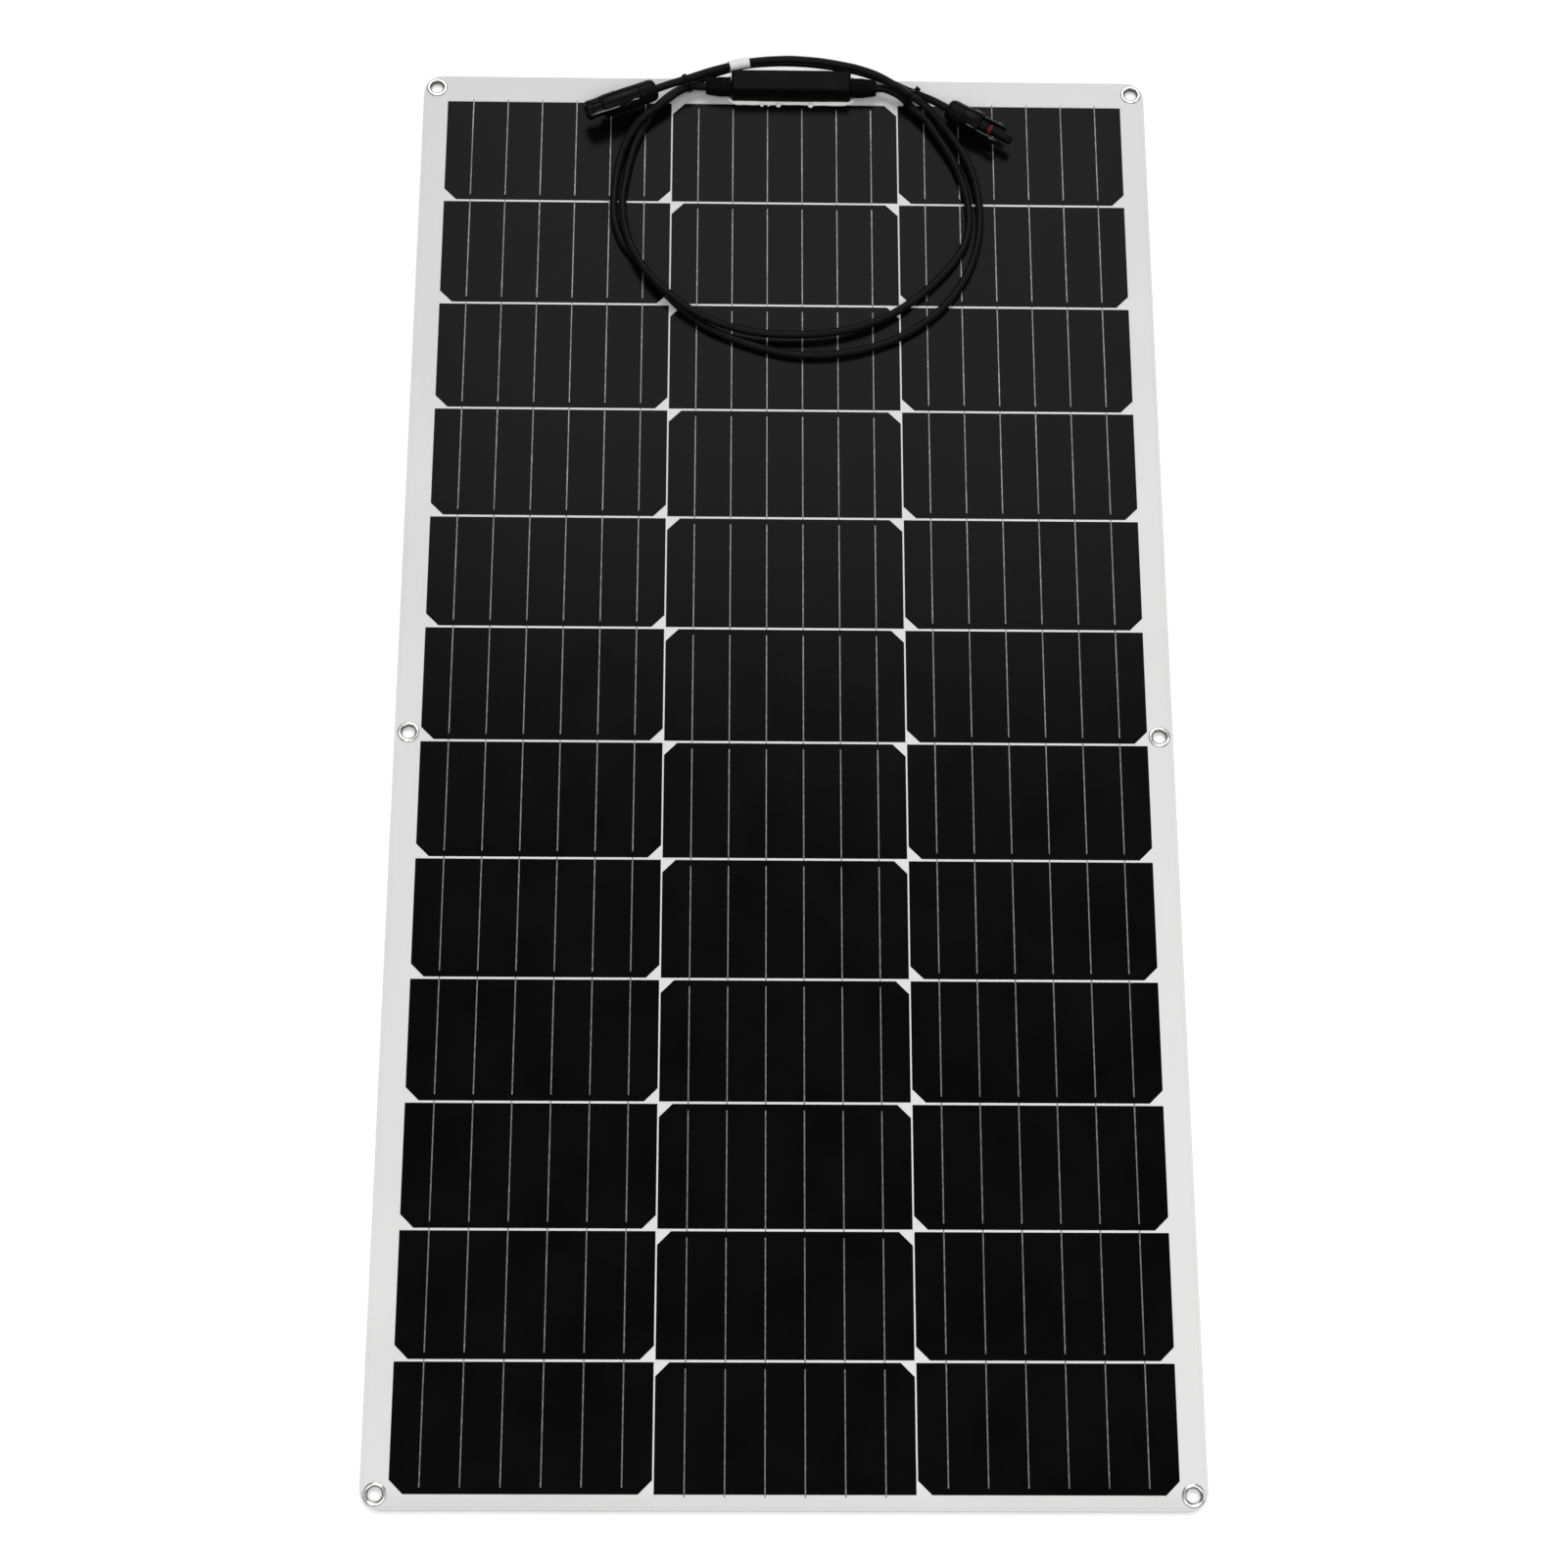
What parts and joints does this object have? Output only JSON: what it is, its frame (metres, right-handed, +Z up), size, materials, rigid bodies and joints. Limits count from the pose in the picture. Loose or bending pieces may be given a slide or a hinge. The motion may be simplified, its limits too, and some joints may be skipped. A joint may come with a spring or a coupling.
{
  "type": "flexible solar sheet",
  "caption": "Thin flexible solar sheet of half-cut cells in a white laminate, with metal eyelets, a slim junction box and looped cables that end in a socket and a latching plug.",
  "frame": {"origin": "below the middle of the sheet, at the level of the eyelets' rear flanges, on which it lies", "axes": "+X across the sheet to the right, +Y along it to the junction box end, +Z up from the cell side"},
  "size_m": [0.5058, 0.9999, 0.0259],
  "materials": {
    "white_sheet": "satin",
    "encapsulant": "satin",
    "clear_film": "clear",
    "cell_black": "satin",
    "nickel": "nickel plated",
    "tinned_copper": "tinned",
    "box_black": "moulded",
    "cable_black": "matte jacket",
    "connector_black": "moulded",
    "silicone_white": "cured sealant",
    "seal_red": "matte",
    "tag_white": "blank sleeve"
  },
  "bodies": {
    "far_strip": {"backsheet_far": "white_sheet", "encapsulant_far": "encapsulant", "front_film_far": "clear_film", "cell_string_left_far": "cell_black", "cell_string_middle_far": "cell_black", "cell_string_right_far": "cell_black", "eyelet_far_left": "nickel", "eyelet_far_right": "nickel", "junction_box_base": "box_black", "junction_box_lid": "box_black", "box_sealant": "silicone_white", "bypass_diode": "box_black", "lead_ribbon_left": "tinned_copper", "lead_ribbon_right": "tinned_copper", "cable_gland_left": "box_black", "cable_gland_right": "box_black", "cable_left": "cable_black", "cable_right": "cable_black", "cable_tag": "tag_white", "cable_tie_left": "box_black", "cable_tie_right": "box_black", "socket_housing": "connector_black", "socket_contact": "tinned_copper", "plug_housing": "connector_black", "plug_contact": "tinned_copper", "plug_sealing_ring": "seal_red"},
    "far_mid_strip": {"backsheet_far_mid": "white_sheet", "encapsulant_far_mid": "encapsulant", "front_film_far_mid": "clear_film", "cell_string_left_far_mid": "cell_black", "cell_string_middle_far_mid": "cell_black", "cell_string_right_far_mid": "cell_black"},
    "middle_strip": {"backsheet_middle": "white_sheet", "encapsulant_middle": "encapsulant", "front_film_middle": "clear_film", "cell_string_left_middle": "cell_black", "cell_string_middle_middle": "cell_black", "cell_string_right_middle": "cell_black", "eyelet_middle_left": "nickel", "eyelet_middle_right": "nickel"},
    "near_mid_strip": {"backsheet_near_mid": "white_sheet", "encapsulant_near_mid": "encapsulant", "front_film_near_mid": "clear_film", "cell_string_left_near_mid": "cell_black", "cell_string_middle_near_mid": "cell_black", "cell_string_right_near_mid": "cell_black"},
    "near_strip": {"backsheet_near": "white_sheet", "encapsulant_near": "encapsulant", "front_film_near": "clear_film", "cell_string_left_near": "cell_black", "cell_string_middle_near": "cell_black", "cell_string_right_near": "cell_black", "eyelet_near_left": "nickel", "eyelet_near_right": "nickel"},
    "socket_nut": {"socket_nut": "connector_black"},
    "plug_nut": {"plug_nut": "connector_black"},
    "latch_arm_left": {"latch_arm_left": "connector_black"},
    "latch_arm_right": {"latch_arm_right": "connector_black"}
  },
  "joints": [
    {"name": "far_flex", "type": "hinge", "parent": "far_strip", "child": "far_mid_strip", "pos_m": [0, 0.23412, 0.0019], "axis": [1, 0, 0], "range_deg": [-7.5, 7.5], "stiffness_Nm_per_rad": 12},
    {"name": "far_mid_flex", "type": "hinge", "parent": "far_mid_strip", "child": "middle_strip", "pos_m": [0, 0.07437, 0.0019], "axis": [1, 0, 0], "range_deg": [-7.5, 7.5], "stiffness_Nm_per_rad": 12},
    {"name": "near_mid_flex", "type": "hinge", "parent": "middle_strip", "child": "near_mid_strip", "pos_m": [0, -0.08538, 0.0019], "axis": [1, 0, 0], "range_deg": [-7.5, 7.5], "stiffness_Nm_per_rad": 12},
    {"name": "near_flex", "type": "hinge", "parent": "near_mid_strip", "child": "near_strip", "pos_m": [0, -0.24513, 0.0019], "axis": [1, 0, 0], "range_deg": [-7.5, 7.5], "stiffness_Nm_per_rad": 12},
    {"name": "socket_nut_turn", "type": "hinge", "parent": "far_strip", "child": "socket_nut", "pos_m": [-0.09, 0.4752, 0.01815], "axis": [-0.9245, -0.3811, 0], "continuous": true},
    {"name": "plug_nut_turn", "type": "hinge", "parent": "far_strip", "child": "plug_nut", "pos_m": [0.1138, 0.4642, 0.01465], "axis": [0.8616, -0.5075, 0], "continuous": true},
    {"name": "latch_left_press", "type": "hinge", "parent": "far_strip", "child": "latch_arm_left", "pos_m": [0.13983, 0.45618, 0.01465], "axis": [0, 0, -1], "range_deg": [0, 4], "stiffness_Nm_per_rad": 0.5},
    {"name": "latch_right_press", "type": "hinge", "parent": "far_strip", "child": "latch_arm_right", "pos_m": [0.13344, 0.44532, 0.01465], "axis": [0, 0, 1], "range_deg": [0, 4], "stiffness_Nm_per_rad": 0.5}
  ]
}
